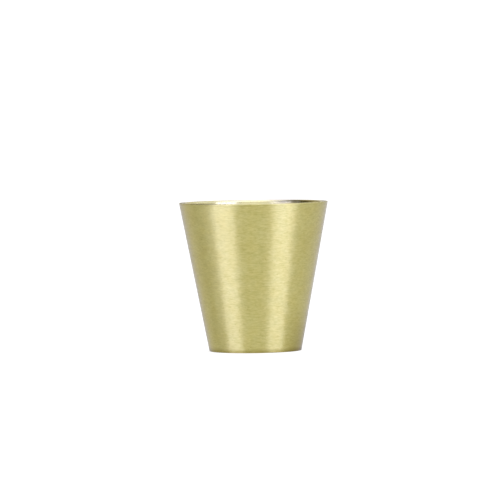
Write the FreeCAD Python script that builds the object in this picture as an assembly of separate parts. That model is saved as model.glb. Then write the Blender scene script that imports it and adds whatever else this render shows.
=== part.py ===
import FreeCAD, Part
import math
import os

# Double-ended bar jigger: one tapered sleeve outside, two drawn cups inside.
# Millimetres, +Z up. The origin is the centre of the narrow foot, and Z is the
# axis that every piece is turned about. The wide cup opens up and holds two
# fluid ounces. The narrow cup opens down and holds one.

# ---- driving dimensions -------------------------------------------------
HEIGHT = 62.9            # foot to wide rim
RIM_D = 63.0             # outside diameter at the wide rim
FOOT_D = 39.0            # outside diameter at the narrow foot
SHEET = 0.8              # thickness of all sheet, measured square to the sheet
FLANGE = 0.8             # thickness of both cup flanges
LAND = 2.4               # width of each rim, outside edge to mouth
EDGE_R = 0.3             # rounding of the outside edge of each rim
MOUTH_R = 1.0            # bend from the flat rim down into a cup, inside face
BEND_R = 0.2             # the same bend on the hidden side of the sheet
SMALL_DRAFT = 1.0        # degrees that the narrow cup closes in towards its floor
SMALL_DEPTH = 33.9       # foot to the floor of the narrow cup
LARGE_CORNER_R = 3.0     # inside corner of the wide cup's floor
SMALL_CORNER_R = 2.5     # inside corner of the narrow cup's floor
FLOOR_BRAZE = 0.2        # thickness of the joint between the two floors
BRAZE_DEPTH = 1.0        # how far each rim joint reaches past the flange
MENISCUS = 0.15          # hollow of the free face of each rim joint
FLUID_OUNCE = 29.574     # millilitres, for the printed capacities

# ---- what follows from them ---------------------------------------------
R_RIM = RIM_D / 2.0
R_FOOT = FOOT_D / 2.0
SLOPE = (R_RIM - R_FOOT) / HEIGHT
TAPER = math.atan(SLOPE)
SHEET_H = SHEET / math.cos(TAPER)                       # tapered sheet, measured level
DRAFT = math.radians(SMALL_DRAFT)
SMALL_H = SHEET / math.cos(DRAFT)                       # narrow cup's wall, measured level
SMALL_BACK = SMALL_DEPTH + SHEET                        # back of the narrow cup's floor
LARGE_BACK = SMALL_BACK + FLOOR_BRAZE                   # back of the wide cup's floor
LARGE_FLOOR = LARGE_BACK + SHEET                        # floor of the wide cup


def outside(z):
    """Outside radius of the cone."""
    return R_FOOT + SLOPE * z


def sleeve_in(z):
    """Inside radius of the sleeve."""
    return outside(z) - SHEET_H


def large_in(z):
    """Inside radius of the wide cup's wall, parallel to the sleeve."""
    return outside(z) - LAND


def large_out(z):
    """Hidden face of the wide cup's wall."""
    return large_in(z) + SHEET_H


def small_in(z):
    """Inside radius of the narrow cup's wall."""
    return R_FOOT - LAND - math.tan(DRAFT) * z


def small_out(z):
    """Hidden face of the narrow cup's wall."""
    return small_in(z) + SMALL_H


# ---- section outlines, turned about Z -----------------------------------
def arc_corner(a, b, c, radius):
    """Tangent points and middle of the arc of that radius at corner b."""
    ua = FreeCAD.Vector(a[0] - b[0], 0, a[1] - b[1]).normalize()
    uc = FreeCAD.Vector(c[0] - b[0], 0, c[1] - b[1]).normalize()
    half = ua.getAngle(uc) / 2.0
    back = radius / math.tan(half)
    corner = FreeCAD.Vector(b[0], 0, b[1])
    centre = corner + (ua + uc).normalize() * (radius / math.sin(half))
    middle = centre + (corner - centre).normalize() * radius
    return corner + ua * back, middle, corner + uc * back


def outline(points):
    """Closed wire in the XZ plane. Each point is (r, z, corner radius), or
    (r, z, 0, bulge), where bulge is the middle (r, z) of an arc from that
    point to the next one."""
    n = len(points)
    starts, ends, arcs = [], [], []
    for i in range(n):
        a, b, c = points[i - 1], points[i], points[(i + 1) % n]
        if b[2] > 0:
            p, m, q = arc_corner(a, b, c, b[2])
            starts.append(p)
            ends.append(q)
            arcs.append(Part.Arc(p, m, q).toShape())
        else:
            v = FreeCAD.Vector(b[0], 0, b[1])
            starts.append(v)
            ends.append(v)
            arcs.append(None)
    edges = []
    for i in range(n):
        if arcs[i] is not None:
            edges.append(arcs[i])
        p, q = ends[i], starts[(i + 1) % n]
        if (p - q).Length < 1e-7:
            continue
        if len(points[i]) > 3:
            m = points[i][3]
            edges.append(Part.Arc(p, FreeCAD.Vector(m[0], 0, m[1]), q).toShape())
        else:
            edges.append(Part.LineSegment(p, q).toShape())
    return Part.Wire(Part.__sortEdges__(edges))


def turned(points):
    """Solid of revolution of an outline about the Z axis."""
    face = Part.Face(outline(points))
    shape = face.revolve(FreeCAD.Vector(0, 0, 0), FreeCAD.Vector(0, 0, 1), 360)
    if shape.ShapeType != "Solid":
        shape = shape.Solids[0]
    if shape.Volume < 0:
        shape.reverse()
    return shape


# ---- the pieces ---------------------------------------------------------
Z_TOP = HEIGHT - FLANGE                                 # top edge of the sleeve
Z_LOW = FLANGE                                          # bottom edge of the sleeve

# Tapered sleeve, open at both ends. Its two cut edges butt against the flanges.
outer_shell = turned([
    (outside(Z_LOW), Z_LOW, 0),
    (outside(Z_TOP), Z_TOP, 0),
    (sleeve_in(Z_TOP), Z_TOP, 0),
    (sleeve_in(Z_LOW), Z_LOW, 0),
])

# Wide cup: flat rim ground flush with the sleeve, wall parallel to the sleeve.
large_cup = turned([
    (0, LARGE_BACK, 0),
    (large_out(LARGE_BACK), LARGE_BACK, LARGE_CORNER_R + SHEET),
    (large_out(Z_TOP), Z_TOP, BEND_R),
    (outside(Z_TOP), Z_TOP, 0),
    (outside(HEIGHT), HEIGHT, EDGE_R),
    (large_in(HEIGHT), HEIGHT, MOUTH_R),
    (large_in(LARGE_FLOOR), LARGE_FLOOR, LARGE_CORNER_R),
    (0, LARGE_FLOOR, 0),
])

# Narrow cup, upside down: its flange is the foot, its wall closes in upwards.
small_cup = turned([
    (0, SMALL_BACK, 0),
    (0, SMALL_DEPTH, 0),
    (small_in(SMALL_DEPTH), SMALL_DEPTH, SMALL_CORNER_R),
    (small_in(0), 0, MOUTH_R),
    (outside(0), 0, EDGE_R),
    (outside(Z_LOW), Z_LOW, 0),
    (small_out(Z_LOW), Z_LOW, BEND_R),
    (small_out(SMALL_BACK), SMALL_BACK, SMALL_CORNER_R + SHEET),
])

# Braze under the wide flange: fills the top of the gap between sleeve and cup.
z_b = Z_TOP - BRAZE_DEPTH
large_rim_braze = turned([
    (sleeve_in(Z_TOP), Z_TOP, 0),
    (large_out(Z_TOP), Z_TOP, BEND_R),
    (large_out(z_b), z_b, 0,
     ((large_out(z_b) + sleeve_in(z_b)) / 2.0, z_b + MENISCUS)),
    (sleeve_in(z_b), z_b, 0),
])

# Braze over the narrow flange: fills the bottom of the gap.
z_s = Z_LOW + BRAZE_DEPTH
small_rim_braze = turned([
    (small_out(Z_LOW), Z_LOW, BEND_R),
    (sleeve_in(Z_LOW), Z_LOW, 0),
    (sleeve_in(z_s), z_s, 0,
     ((small_out(z_s) + sleeve_in(z_s)) / 2.0, z_s - MENISCUS)),
    (small_out(z_s), z_s, 0),
])

# Braze between the two floors, as wide as the flat of the narrow cup's floor.
flat_r = small_out(SMALL_BACK) - (SMALL_CORNER_R + SHEET)
floor_braze = Part.makeCylinder(flat_r, FLOOR_BRAZE, FreeCAD.Vector(0, 0, SMALL_BACK))

PIECES = {
    "outer_shell": outer_shell,
    "large_cup": large_cup,
    "small_cup": small_cup,
    "large_rim_braze": large_rim_braze,
    "small_rim_braze": small_rim_braze,
    "floor_braze": floor_braze,
}

# ---- capacities, to the brim --------------------------------------------
plug_large = Part.makeCylinder(R_RIM + 5, HEIGHT - LARGE_FLOOR, FreeCAD.Vector(0, 0, LARGE_FLOOR))
plug_small = Part.makeCylinder(small_in(0) + MOUTH_R, SMALL_DEPTH)


def cavity(plug, cup, seed):
    """Volume of the part of a plug, closed at the brim, that lies in a cup."""
    for solid in plug.cut(cup).Solids:
        if solid.isInside(seed, 1e-4, True):
            return solid.Volume / 1000.0
    raise RuntimeError("no cavity found")


cap_large = cavity(plug_large, large_cup, FreeCAD.Vector(0, 0, LARGE_FLOOR + 5))
cap_small = cavity(plug_small, small_cup, FreeCAD.Vector(0, 0, SMALL_DEPTH - 5))
print("wide cup   %.2f ml = %.3f fl oz, depth %.2f" % (cap_large, cap_large / FLUID_OUNCE, HEIGHT - LARGE_FLOOR))
print("narrow cup %.2f ml = %.3f fl oz, depth %.2f" % (cap_small, cap_small / FLUID_OUNCE, SMALL_DEPTH))
print("floor of the wide cup at z = %.2f" % LARGE_FLOOR)

os.makedirs("parts", exist_ok=True)
for name, shape in PIECES.items():
    if not (shape.isValid() and shape.isClosed() and len(shape.Solids) == 1):
        raise RuntimeError("bad solid: " + name)
    shape.exportStep("parts/" + name + ".step")
    print("%-16s %9.1f mm3" % (name, shape.Volume))
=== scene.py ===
import bpy
import math
from mathutils import Vector, Matrix


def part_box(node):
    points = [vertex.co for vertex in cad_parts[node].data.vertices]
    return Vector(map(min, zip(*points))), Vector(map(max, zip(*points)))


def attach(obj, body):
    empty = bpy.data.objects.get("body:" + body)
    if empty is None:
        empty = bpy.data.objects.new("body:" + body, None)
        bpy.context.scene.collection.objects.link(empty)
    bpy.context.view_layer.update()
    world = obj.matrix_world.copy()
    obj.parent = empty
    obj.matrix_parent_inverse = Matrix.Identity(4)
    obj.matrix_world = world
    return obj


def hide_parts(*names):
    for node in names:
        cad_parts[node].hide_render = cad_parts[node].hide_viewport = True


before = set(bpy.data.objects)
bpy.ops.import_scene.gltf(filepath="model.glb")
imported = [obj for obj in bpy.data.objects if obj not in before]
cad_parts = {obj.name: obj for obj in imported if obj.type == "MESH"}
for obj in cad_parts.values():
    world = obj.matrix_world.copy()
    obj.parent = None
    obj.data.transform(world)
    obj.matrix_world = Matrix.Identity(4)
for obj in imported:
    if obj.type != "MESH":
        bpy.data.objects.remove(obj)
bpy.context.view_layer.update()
scene = bpy.context.scene

# ---------------------------------------------------------------- dimensions
# The same section as the CAD model, in metres.
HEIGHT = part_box("large_cup")[1].z
R_RIM = 0.0315
R_FOOT = 0.0195
SHEET = 0.0008
FLANGE = 0.0008
LAND = 0.0024
EDGE_R = 0.0003
MOUTH_R = 0.0010
BEND_R = 0.0002
DRAFT = math.radians(1.0)
SMALL_DEPTH = 0.0339
LARGE_CORNER_R = 0.0030
SMALL_CORNER_R = 0.0025
FLOOR_BRAZE = 0.0002
SLOPE = (R_RIM - R_FOOT) / HEIGHT
TAPER = math.atan(SLOPE)
SHEET_H = SHEET / math.cos(TAPER)
SMALL_H = SHEET / math.cos(DRAFT)
SMALL_BACK = SMALL_DEPTH + SHEET
LARGE_BACK = SMALL_BACK + FLOOR_BRAZE
LARGE_FLOOR = LARGE_BACK + SHEET
Z_TOP = HEIGHT - FLANGE
Z_LOW = FLANGE
SEAM = 0.00006          # width of the hairline where a flange meets the sleeve
SEGMENTS = 288


def outside(z): return R_FOOT + SLOPE * z
def sleeve_in(z): return outside(z) - SHEET_H
def large_in(z): return outside(z) - LAND
def large_out(z): return large_in(z) + SHEET_H
def small_in(z): return R_FOOT - LAND - math.tan(DRAFT) * z
def small_out(z): return small_in(z) + SMALL_H


# ------------------------------------------------------------------- lathing
def runs(points, open_ends):
    """Splits a section with corner radii into runs, each a list of
    (r, z, normal r, normal z). Points are (r, z, corner radius) with the
    metal on the left of the direction of travel, so normals point right."""
    n = len(points)
    out = []
    ends = {}
    for i in range(n):
        b = Vector(points[i][:2])
        if points[i][2] <= 0 or (open_ends and i in (0, n - 1)):
            ends[i] = (b, b, None)
            continue
        a, c = Vector(points[i - 1][:2]), Vector(points[(i + 1) % n][:2])
        ua, uc = (a - b).normalized(), (c - b).normalized()
        half = ua.angle(uc) / 2
        back = points[i][2] / math.tan(half)
        centre = b + (ua + uc).normalized() * (points[i][2] / math.sin(half))
        ends[i] = (b + ua * back, b + uc * back, centre)
    last = n - 1 if open_ends else n
    for i in range(n):
        p, q, centre = ends[i]
        if centre is not None:
            va, vb = p - centre, q - centre
            turn = math.atan2(va.x * vb.y - va.y * vb.x, va.dot(vb))
            steps = max(5, int(math.ceil(abs(turn) / math.radians(7))))
            sign = 1.0
            d = (p - Vector(points[i - 1][:2])).normalized()
            if Vector((d.y, -d.x)).dot(va) < 0:
                sign = -1.0
            arc = []
            for k in range(steps + 1):
                v = Matrix.Rotation(turn * k / steps, 2) @ va
                w = v.normalized() * sign
                arc.append((centre.x + v.x, centre.y + v.y, w.x, w.y))
            out.append(arc)
        if i < last:
            s, e = q, ends[(i + 1) % n][0]
            d = e - s
            if d.length > 1e-9:
                nrm = Vector((d.y, -d.x)).normalized()
                steps = max(1, int(round(d.length / 0.0015)))
                out.append([(s.x + d.x * k / steps, s.y + d.y * k / steps, nrm.x, nrm.y)
                            for k in range(steps + 1)])
    return out


def lathe(name, points, open_ends=False):
    """A closed body of revolution with exact normals. With open_ends the
    section starts and stops on the axis. The attribute "run" holds the
    distance along the section, which is the direction across the brushing."""
    verts, faces, normals, uvs, run_at = [], [], [], [], []
    rings = {}

    def ring(r, z, s):
        for (r0, z0), made in rings.items():
            if abs(r - r0) + abs(z - z0) < 2e-7:
                return made
        start = len(verts)
        if r < 1e-9:
            verts.append((0, 0, z))
            run_at.append(s)
            rings[r, z] = (start, 1)
        else:
            for k in range(SEGMENTS):
                t = 2 * math.pi * k / SEGMENTS
                verts.append((r * math.cos(t), r * math.sin(t), z))
                run_at.append(s)
            rings[r, z] = (start, SEGMENTS)
        return rings[r, z]

    s = 0.0
    for section in runs(points, open_ends):
        for a, b in zip(section, section[1:]):
            step = math.hypot(b[0] - a[0], b[1] - a[1])
            ia, ib = ring(a[0], a[1], s), ring(b[0], b[1], s + step)
            for k in range(SEGMENTS):
                k2 = (k + 1) % SEGMENTS
                t, t2 = 2 * math.pi * k / SEGMENTS, 2 * math.pi * (k + 1) / SEGMENTS
                corners = []
                if ia[1] == 1:
                    corners = [(ia[0], a, (t + t2) / 2, s), (ib[0] + k2, b, t2, s + step), (ib[0] + k, b, t, s + step)]
                elif ib[1] == 1:
                    corners = [(ia[0] + k, a, t, s), (ia[0] + k2, a, t2, s), (ib[0], b, (t + t2) / 2, s + step)]
                else:
                    corners = [(ia[0] + k, a, t, s), (ia[0] + k2, a, t2, s),
                               (ib[0] + k2, b, t2, s + step), (ib[0] + k, b, t, s + step)]
                faces.append([c[0] for c in corners])
                for _, p, ang, ss in corners:
                    normals.append((p[2] * math.cos(ang), p[2] * math.sin(ang), p[3]))
                    uvs.append((ang / (2 * math.pi), ss / 0.2))
            s += step
    mesh = bpy.data.meshes.new(name)
    mesh.from_pydata(verts, [], faces)
    layer = mesh.uv_layers.new(name="UVMap")
    for i, uv in enumerate(uvs):
        layer.data[i].uv = uv
    at = mesh.attributes.new("run", "FLOAT", "POINT")
    at.data.foreach_set("value", run_at)
    for poly in mesh.polygons:
        poly.use_smooth = True
    mesh.normals_split_custom_set(normals)
    mesh.validate()
    obj = bpy.data.objects.new(name, mesh)
    scene.collection.objects.link(obj)
    return obj


# ---------------------------------------------------------------- materials
class Nodes:
    """Short hand for building a node tree."""

    def __init__(self, name):
        self.mat = bpy.data.materials.new(name)
        self.mat.use_nodes = True
        self.tree = self.mat.node_tree
        self.tree.nodes.clear()
        self.out = self.tree.nodes.new("ShaderNodeOutputMaterial")

    def add(self, kind, **settings):
        node = self.tree.nodes.new(kind)
        for key, value in settings.items():
            setattr(node, key, value)
        return node

    def put(self, socket, value):
        if hasattr(value, "is_output") or isinstance(value, bpy.types.NodeSocket):
            self.tree.links.new(value, socket)
        else:
            socket.default_value = value

    def math(self, op, a, b=0.0, c=0.0, clamp=False):
        node = self.add("ShaderNodeMath", operation=op, use_clamp=clamp)
        for k, v in enumerate((a, b, c)):
            self.put(node.inputs[k], v)
        return node.outputs[0]

    def combine(self, x, y, z):
        node = self.add("ShaderNodeCombineXYZ")
        for k, v in enumerate((x, y, z)):
            self.put(node.inputs[k], v)
        return node.outputs[0]

    def noise(self, vector, scale, detail=2.0, rough=0.5):
        node = self.add("ShaderNodeTexNoise", noise_dimensions="3D")
        self.put(node.inputs["Vector"], vector)
        node.inputs["Scale"].default_value = scale
        node.inputs["Detail"].default_value = detail
        node.inputs["Roughness"].default_value = rough
        return node.outputs["Fac"]

    def span(self, value, lo, hi, to_lo, to_hi):
        node = self.add("ShaderNodeMapRange")
        for k, v in enumerate((value, lo, hi, to_lo, to_hi)):
            self.put(node.inputs[k], v)
        return node.outputs[0]

    def blend(self, fac, a, b, mode="MIX"):
        node = self.add("ShaderNodeMix", data_type="RGBA", blend_type=mode)
        self.put(node.inputs[0], fac)
        self.put(node.inputs[6], a)
        self.put(node.inputs[7], b)
        return node.outputs[2]


def brass(name, outer, inner=None, aniso=0.88, grain=0.50, lines=0.21, bump=1.0):
    """Satin brass brushed around the axis: lines that follow the turning, the
    torn short marks between them, and slow changes of tone. Object space for
    the way round, the distance along the section for the way across. Outer
    and inner are (colour, roughness); inner is the smoother finish of a cup's
    inside, which starts just over the lip."""
    n = Nodes(name)
    where = n.add("ShaderNodeTexCoord").outputs["Object"]
    split = n.add("ShaderNodeSeparateXYZ")
    n.put(split.inputs[0], where)
    x, y, z = split.outputs
    run = n.add("ShaderNodeAttribute", attribute_name="run").outputs["Fac"]
    radius = n.math("SQRT", n.math("ADD", n.math("MULTIPLY", x, x), n.math("MULTIPLY", y, y)))
    depth = n.math("SUBTRACT", n.math("MULTIPLY_ADD", z, SLOPE, R_FOOT), radius)   # in from the outside cone
    inside = n.span(depth, 0.0003, 0.0008, 0.0, 1.0)

    def marks(length, height, detail, rough):
        """Noise whose marks are that long around the axis and that high across it, in mm."""
        return n.noise(n.combine(n.math("MULTIPLY", x, 1000.0 / length), n.math("MULTIPLY", y, 1000.0 / length),
                                 n.math("MULTIPLY", run, 1000.0 / height)), 1.0, detail, rough)

    hair = marks(9.0, 0.16, 2.0, 0.6)       # the finest brush lines
    line = marks(7.5, 0.60, 2.0, 0.55)     # lines the eye can follow part of the way round
    short = marks(1.8, 0.50, 1.5, 0.6)      # short torn marks
    mid = marks(3.2, 1.60, 2.0, 0.5)        # uneven pressure of the brush
    cloud = n.noise(where, 60.0, 2.0, 0.5)  # slow change of tone
    patch = n.noise(where, 210.0, 2.0, 0.6) # small warm and olive patches

    def centred(v, amount):
        return n.math("MULTIPLY", n.math("SUBTRACT", v, 0.5), amount)

    tone = n.math("ADD", centred(short, grain), centred(line, lines))
    tone = n.math("ADD", tone, centred(hair, lines * 0.8))
    tone = n.math("ADD", tone, centred(mid, lines * 0.9))
    # sparse pits between the marks
    pits = n.span(marks(0.9, 0.7, 1.0, 0.5), 0.66, 0.78, 0.0, -0.16)
    tone = n.math("ADD", tone, pits)
    # the smoother inside keeps little of all this
    plain = n.span(inside, 0.0, 1.0, 1.0, 0.16)
    tone = n.math("MULTIPLY", tone, plain)
    tone = n.math("ADD", tone, centred(cloud, 0.07))
    # hairline where each flange meets the sleeve, and the rim's edge rubbed a little brighter
    for level in (Z_LOW, Z_TOP):
        gap = n.math("ABSOLUTE", n.math("SUBTRACT", z, level))
        dark = n.math("MULTIPLY", n.span(gap, SEAM / 2, SEAM, -0.30, 0.0), n.math("SUBTRACT", 1.0, inside))
        tone = n.math("ADD", tone, dark)
    gap = n.math("ABSOLUTE", n.math("SUBTRACT", z, HEIGHT))
    rubbed = n.math("MULTIPLY", n.span(gap, EDGE_R, EDGE_R * 2.5, 1.0, 0.0),
                    n.span(n.math("ABSOLUTE", depth), EDGE_R, EDGE_R * 2.5, 1.0, 0.0))
    tone = n.math("ADD", tone, n.math("MULTIPLY", rubbed, 0.05))
    # painted shade: the metal is darker toward the foot, most of all on one side, standing in for the floor's shadow
    # seen in it; cloud noise varies it
    side = n.math("DIVIDE", n.math("ADD", n.math("MULTIPLY", x, 0.940), n.math("MULTIPLY", y, -0.342)), radius)
    foot_shade = n.math("ADD", n.span(side, 0.80, 0.98, 0.08, 1.0), centred(cloud, 0.6))
    foot_shade = n.math("MULTIPLY", foot_shade, n.span(z, 0.0, 0.020, 1.0, 0.0))
    foot_shade = n.math("MULTIPLY", foot_shade, n.math("SUBTRACT", 1.0, inside), clamp=True)
    # painted shade: a dark line runs all round the foot's edge, standing in for the floor's contact shadow seen in the
    # metal
    edge_contact_shade = n.math("MULTIPLY", n.span(z, 0.0003, 0.0020, 1.0, 0.0), n.math("SUBTRACT", 1.0, inside))
    edge_contact_shade = n.math("MULTIPLY", edge_contact_shade, n.math("ADD", 1.0, centred(cloud, 0.8)), clamp=True)

    colour, roughness = outer
    if inner is not None:
        base = n.blend(inside, (*colour, 1), (*inner[0], 1))
        roughness = n.span(inside, 0.0, 1.0, roughness, inner[1])
    else:
        base = n.blend(0.0, (*colour, 1), (*colour, 1))
    base = n.blend(n.span(patch, 0.30, 0.70, 0.0, 1.0), base,
                   n.blend(1.0, base, (*PATCH, 1), "MULTIPLY"))
    # painted shade toward the foot, strongest on one side
    base = n.blend(foot_shade, base, n.blend(1.0, base, (*FOOT_SHADE, 1), "MULTIPLY"))
    # painted contact shade along the foot's edge
    base = n.blend(edge_contact_shade, base, n.blend(1.0, base, (*EDGE_CONTACT_SHADE, 1), "MULTIPLY"))
    # painted glints on the grain: the marks' tone changes blue the most, so the brighter marks are painted nearly
    # white like glints
    gain = n.add("ShaderNodeVectorMath", operation="MULTIPLY_ADD")
    n.put(gain.inputs[0], n.combine(tone, tone, tone))
    gain.inputs[1].default_value = (1.0, 1.03, 1.55)
    gain.inputs[2].default_value = (1.0, 1.0, 1.0)
    scale = n.add("ShaderNodeVectorMath", operation="MULTIPLY")
    n.put(scale.inputs[0], base)
    n.put(scale.inputs[1], gain.outputs[0])

    rough = n.math("MULTIPLY", n.math("ADD", centred(line, 0.30), centred(short, 0.22)), plain)
    rough = n.math("ADD", rough, centred(cloud, 0.06))
    rough = n.math("ADD", rough, roughness, clamp=True)

    height = n.math("ADD", n.math("MULTIPLY", hair, 0.35), n.math("MULTIPLY", short, 0.65))
    height = n.math("MULTIPLY", height, n.span(inside, 0.0, 1.0, 1.0, 0.06))
    bumped = n.add("ShaderNodeBump")
    bumped.inputs["Strength"].default_value = bump
    bumped.inputs["Distance"].default_value = 0.00004
    n.put(bumped.inputs["Height"], height)

    bsdf = n.add("ShaderNodeBsdfPrincipled")
    n.put(bsdf.inputs["Base Color"], scale.outputs[0])
    n.put(bsdf.inputs["Roughness"], rough)
    n.put(bsdf.inputs["Normal"], bumped.outputs[0])
    bsdf.inputs["Metallic"].default_value = 1.0
    bsdf.inputs["Specular Tint"].default_value = (0.82, 0.82, 1.0, 1)
    bsdf.inputs["Anisotropic"].default_value = aniso
    bsdf.inputs["Anisotropic Rotation"].default_value = ACROSS
    tangent = n.add("ShaderNodeTangent", direction_type="RADIAL", axis="Z")
    n.put(bsdf.inputs["Tangent"], tangent.outputs[0])
    n.put(n.out.inputs["Surface"], bsdf.outputs[0])
    return n.mat


ACROSS = 0.25          # the highlight spreads across the brush lines
BRASS = (0.488, 0.447, 0.161)
INSIDE_POLISH_AND_HIGHLIGHT = (0.62, 0.575, 0.28)      # the cups' insides, polished instead of brushed; the paler, whiter colour is painted highlight
BRAZE = (0.52, 0.46, 0.24)
PATCH = (0.985, 0.960, 0.88)
# colour of the painted shade toward the foot
FOOT_SHADE = (0.70, 0.67, 0.52)
# colour of the painted contact shade at the foot's edge
EDGE_CONTACT_SHADE = (0.70, 0.66, 0.52)
outer_brass = brass("brushed_brass", (BRASS, 0.42))
cup_brass = brass("cup_brass", (BRASS, 0.42), (INSIDE_POLISH_AND_HIGHLIGHT, 0.28))
braze_mat = brass("braze", (BRAZE, 0.55), aniso=0.0, grain=0.5, lines=0.0, bump=1.0)

# ------------------------------------------------------------------- pieces
sleeve = lathe("outer_shell_skin", [
    (outside(Z_LOW), Z_LOW, 0), (outside(Z_TOP), Z_TOP, 0),
    (sleeve_in(Z_TOP), Z_TOP, 0), (sleeve_in(Z_LOW), Z_LOW, 0)])
wide = lathe("large_cup_liner", [
    (0, LARGE_BACK, 0),
    (large_out(LARGE_BACK), LARGE_BACK, LARGE_CORNER_R + SHEET),
    (large_out(Z_TOP), Z_TOP, BEND_R),
    (outside(Z_TOP), Z_TOP, 0),
    (outside(HEIGHT), HEIGHT, EDGE_R),
    (large_in(HEIGHT), HEIGHT, MOUTH_R),
    (large_in(LARGE_FLOOR), LARGE_FLOOR, LARGE_CORNER_R),
    (0, LARGE_FLOOR, 0)], open_ends=True)
narrow = lathe("small_cup_liner", [
    (0, SMALL_DEPTH, 0),
    (small_in(SMALL_DEPTH), SMALL_DEPTH, SMALL_CORNER_R),
    (small_in(0), 0, MOUTH_R),
    (outside(0), 0, EDGE_R),
    (outside(Z_LOW), Z_LOW, 0),
    (small_out(Z_LOW), Z_LOW, BEND_R),
    (small_out(SMALL_BACK), SMALL_BACK, SMALL_CORNER_R + SHEET),
    (0, SMALL_BACK, 0)], open_ends=True)

for obj, node, mat, slot in ((sleeve, "outer_shell", outer_brass, "brushed_brass"),
                             (wide, "large_cup", cup_brass, "cup_brass"),
                             (narrow, "small_cup", cup_brass, "cup_brass")):
    obj.data.materials.append(mat)
    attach(obj, "root")
    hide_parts(node)
for node in ("large_rim_braze", "small_rim_braze", "floor_braze"):
    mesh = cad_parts[node].data
    mesh.materials.clear()
    mesh.materials.append(braze_mat)

# -------------------------------------------------------------------- studio
floor_mesh = bpy.data.meshes.new("floor")
F = 12.0
floor_mesh.from_pydata([(-F, -F, 0), (F, -F, 0), (F, F, 0), (-F, F, 0)], [], [(0, 1, 2, 3)])
floor = bpy.data.objects.new("floor", floor_mesh)
scene.collection.objects.link(floor)


def lit_floor():
    """Pale floor, lit from within like a white sweep, with a painted contact shadow: its glow is darker where the foot
    stands on it.
    """
    n = Nodes("floor")
    where = n.add("ShaderNodeTexCoord").outputs["Object"]
    split = n.add("ShaderNodeSeparateXYZ")
    n.put(split.inputs[0], where)
    flat = n.combine(split.outputs[0], split.outputs[1], 0.0)
    length = n.add("ShaderNodeVectorMath", operation="LENGTH")
    n.put(length.inputs[0], flat)
    # painted contact shadow: the glow fades to nothing at the foot's edge, with a faint wider ring
    shadow_near = n.add("ShaderNodeMapRange", interpolation_type="SMOOTHSTEP")
    for k, v in enumerate((length.outputs["Value"], R_FOOT - 0.0016, R_FOOT + 0.0004, 0.0, 0.90)):
        n.put(shadow_near.inputs[k], v)
    shadow_far = n.add("ShaderNodeMapRange", interpolation_type="SMOOTHSTEP")
    for k, v in enumerate((length.outputs["Value"], R_FOOT - 0.0005, R_FOOT + 0.0045, 0.0, 0.10)):
        n.put(shadow_far.inputs[k], v)
    glow = n.math("ADD", shadow_near.outputs[0], shadow_far.outputs[0])
    bsdf = n.add("ShaderNodeBsdfPrincipled")
    bsdf.inputs["Base Color"].default_value = (0.06, 0.06, 0.06, 1)
    bsdf.inputs["Roughness"].default_value = 0.9
    bsdf.inputs["Emission Color"].default_value = (*FLOOR_GLOW, 1)
    n.put(bsdf.inputs["Emission Strength"], glow)
    n.put(n.out.inputs["Surface"], bsdf.outputs[0])
    return n.mat


FLOOR_GLOW = (1.00, 0.99, 0.96)
floor_mesh.materials.append(lit_floor())
floor.location.z = -0.00002


def soft_box(name, azimuth, elevation, distance, size, radiance, colour, height=None):
    """Soft box that faces the object. Azimuth is measured from the camera's
    side, positive to the right. With a height it stands upright on the floor."""
    data = bpy.data.lights.new(name, "AREA")
    data.shape = "RECTANGLE"
    data.size, data.size_y = size, height or size
    data.energy = radiance * math.pi * data.size * data.size_y
    data.color = colour
    a, e = math.radians(azimuth), math.radians(elevation)
    towards = Vector((math.sin(a) * math.cos(e), -math.cos(a) * math.cos(e), math.sin(e)))
    obj = bpy.data.objects.new(name, data)
    obj.location = towards * distance + Vector((0, 0, height / 2 if height else HEIGHT / 2))
    obj.rotation_mode = "QUATERNION"
    obj.rotation_quaternion = towards.to_track_quat("Z", "Y")
    obj.visible_camera = False
    scene.collection.objects.link(obj)
    return obj


COOL = (1.0, 1.01, 2.06)
# two low soft boxes give the upright bands, a weaker one the left one's shoulder
for name, azimuth, width, height, radiance in (("strip_left", -49.5, 0.60, 0.20, 8.8),
                                               ("strip_right", 48.5, 0.62, 0.30, 5.7),
                                               ("flank_left", -78, 0.34, 0.20, 1.3)):
    soft_box(name, azimuth, 0, 0.9, width, radiance, COOL, height)


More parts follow.
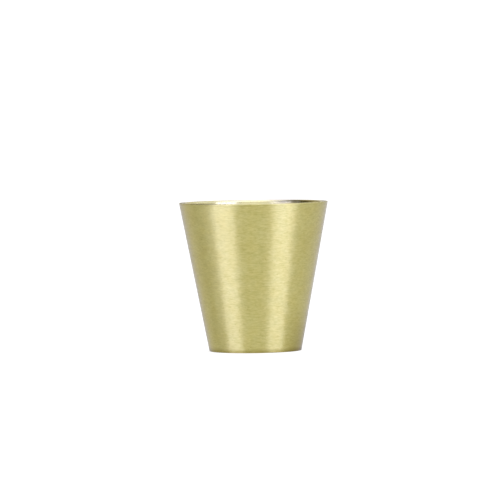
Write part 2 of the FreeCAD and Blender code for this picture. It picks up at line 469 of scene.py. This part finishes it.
def studio():
    """Soft surroundings: a white horizon, and bright walls that start well
    above it in front, on the right and behind."""
    world = bpy.data.worlds.new("studio")
    scene.world = world
    world.use_nodes = True
    tree = world.node_tree
    tree.nodes.clear()
    n = Nodes.__new__(Nodes)
    n.tree = tree
    where = n.add("ShaderNodeTexCoord").outputs["Generated"]
    split = n.add("ShaderNodeSeparateXYZ")
    n.put(split.inputs[0], where)
    dx, dy, dz = split.outputs
    azimuth = n.math("ARCTAN2", dx, n.math("MULTIPLY", dy, -1.0))
    elevation = n.math("ARCSINE", dz)

    def step(v, lo, hi):
        node = n.add("ShaderNodeMapRange", interpolation_type="SMOOTHSTEP")
        for k, w in enumerate((v, math.radians(lo), math.radians(hi), 0.0, 1.0)):
            n.put(node.inputs[k], w)
        return node.outputs[0]

    def less(v, lo, hi):
        return n.math("SUBTRACT", 1.0, step(v, lo, hi))

    def plus(level, part, colour):
        scaled = n.add("ShaderNodeVectorMath", operation="MULTIPLY_ADD")
        n.put(scaled.inputs[0], n.combine(part, part, part))
        scaled.inputs[1].default_value = colour
        n.put(scaled.inputs[2], level)
        return scaled.outputs[0]

    level = n.combine(*ROOM)
    for name, centre, half, soft, rise, fall, colour in WALLS:
        off = n.math("WRAP", n.math("SUBTRACT", azimuth, math.radians(centre)), math.pi, -math.pi)
        part = less(n.math("ABSOLUTE", off), half - soft, half + soft)
        part = n.math("MULTIPLY", part, step(elevation, *rise))
        part = n.math("MULTIPLY", part, less(elevation, *fall))
        level = plus(level, part, colour)
    level = plus(level, step(elevation, *ZENITH[0]), ZENITH[1])
    level = plus(level, less(n.math("ABSOLUTE", elevation), 1.5, 3.5), HORIZON)
    bg = n.add("ShaderNodeBackground")
    n.put(bg.inputs["Color"], level)
    out = n.add("ShaderNodeOutputWorld")
    n.put(out.inputs["Surface"], bg.outputs[0])


ROOM = (0.06, 0.05, 0.03)
HORIZON = (1.10, 1.10, 1.10)
# name, centre, half width and softness in azimuth, rise and fall in elevation (degrees), colour
# right_low lights the left of the cup's inside, and right_dim takes as much off the wall above it
WALLS = (
    ("wall", 45.5, 89.5, 8, (14, 24), (52, 64), (1.70, 1.76, 2.40)),
    ("front", 0, 25, 12, (14, 24), (52, 64), (0.60, 0.58, 0.50)),
    ("back", 165, 30, 8, (4, 9), (52, 64), (1.00, 0.98, 0.80)),
    ("back_left", -145, 20, 8, (4, 9), (42, 54), (0.42, 0.38, 0.26)),
    ("right_low", 100, 36, 10, (3, 7), (14, 24), (0.62, 0.60, 0.62)),
    ("right_dim", 100, 36, 10, (18, 28), (52, 64), (-0.40, -0.40, -0.55)),
    ("left_low", -130, 18, 10, (1, 3), (7, 12), (0.70, 0.60, 0.45)),
)
ZENITH = ((52, 64), (1.85, 1.93, 3.70))
studio()

scene.view_settings.view_transform = "Standard"
scene.view_settings.look = "None"

# -------------------------------------------------------------------- camera
UNIT = 2 * R_RIM
cam_data = bpy.data.cameras.new("camera")
cam = bpy.data.objects.new("camera", cam_data)
scene.collection.objects.link(cam)
scene.camera = cam
cam_data.sensor_width = 36.0
cam_data.lens = 4636.6 * 36.0 / 500.0
cam_data.clip_start, cam_data.clip_end = 0.05, 50
cam_pos = Vector((0, -31.12 * UNIT, 1.914 * UNIT))
mid = Vector((0, 0, HEIGHT / 2))
# picture position of the middle of the object, from the centre of the frame
PX, PY, ROLL = 4.47, 26.19, math.radians(0.836)
look = (mid - cam_pos).normalized()
right = look.cross(Vector((0, 0, 1))).normalized()
up = right.cross(look).normalized()
# the object turns counter-clockwise in the picture, so the camera turns clockwise
cr, sr = math.cos(ROLL), math.sin(ROLL)
cam_right = right * cr - up * sr
cam_up = right * sr + up * cr
f = 4636.6
aim = (look * f - cam_right * PX + cam_up * PY).normalized()
# keep the roll while turning from look to aim
turn = look.rotation_difference(aim)
cam_right = turn @ cam_right
cam_up = turn @ cam_up
m = Matrix((cam_right, cam_up, -aim)).transposed().to_4x4()
m.translation = cam_pos
cam.matrix_world = m
